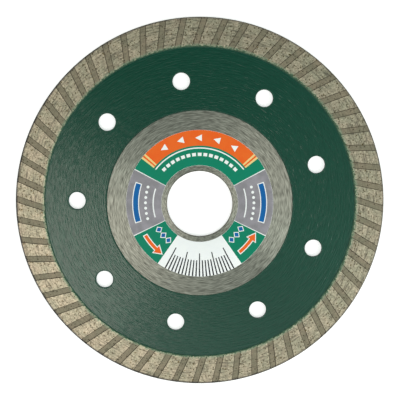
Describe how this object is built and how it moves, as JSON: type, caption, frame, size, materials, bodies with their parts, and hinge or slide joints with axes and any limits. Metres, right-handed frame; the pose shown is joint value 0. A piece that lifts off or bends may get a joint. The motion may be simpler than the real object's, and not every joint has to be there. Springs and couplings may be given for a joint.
{
  "type": "diamond blade",
  "caption": "Thin round tile-cutting blade: a painted steel core with cooling holes and a thicker hub carries a sintered diamond rim with slanted turbo grooves on both faces.",
  "frame": {"origin": "centre of the bore, in the middle of the core's thickness", "axes": "+Z along the bore's axis, out of the labelled front face; +X and +Y lie in the blade's plane, +Y towards the top of the label; the blade lies flat"},
  "size_m": [0.125, 0.125, 0.0017],
  "materials": {
    "core_paint": "semi-gloss dark green lacquer over ground steel",
    "sintered_bond": "matt, fine-pored sintered metal bond, turned on its faces",
    "ground_steel": "bare, rotary ground",
    "label_print": "printed self-adhesive foil, satin"
  },
  "bodies": {
    "root": {"steel_core": "core_paint", "turbo_rim": "sintered_bond", "hub_flange_front": "ground_steel", "hub_flange_back": "ground_steel", "label": "label_print"}
  },
  "joints": []
}
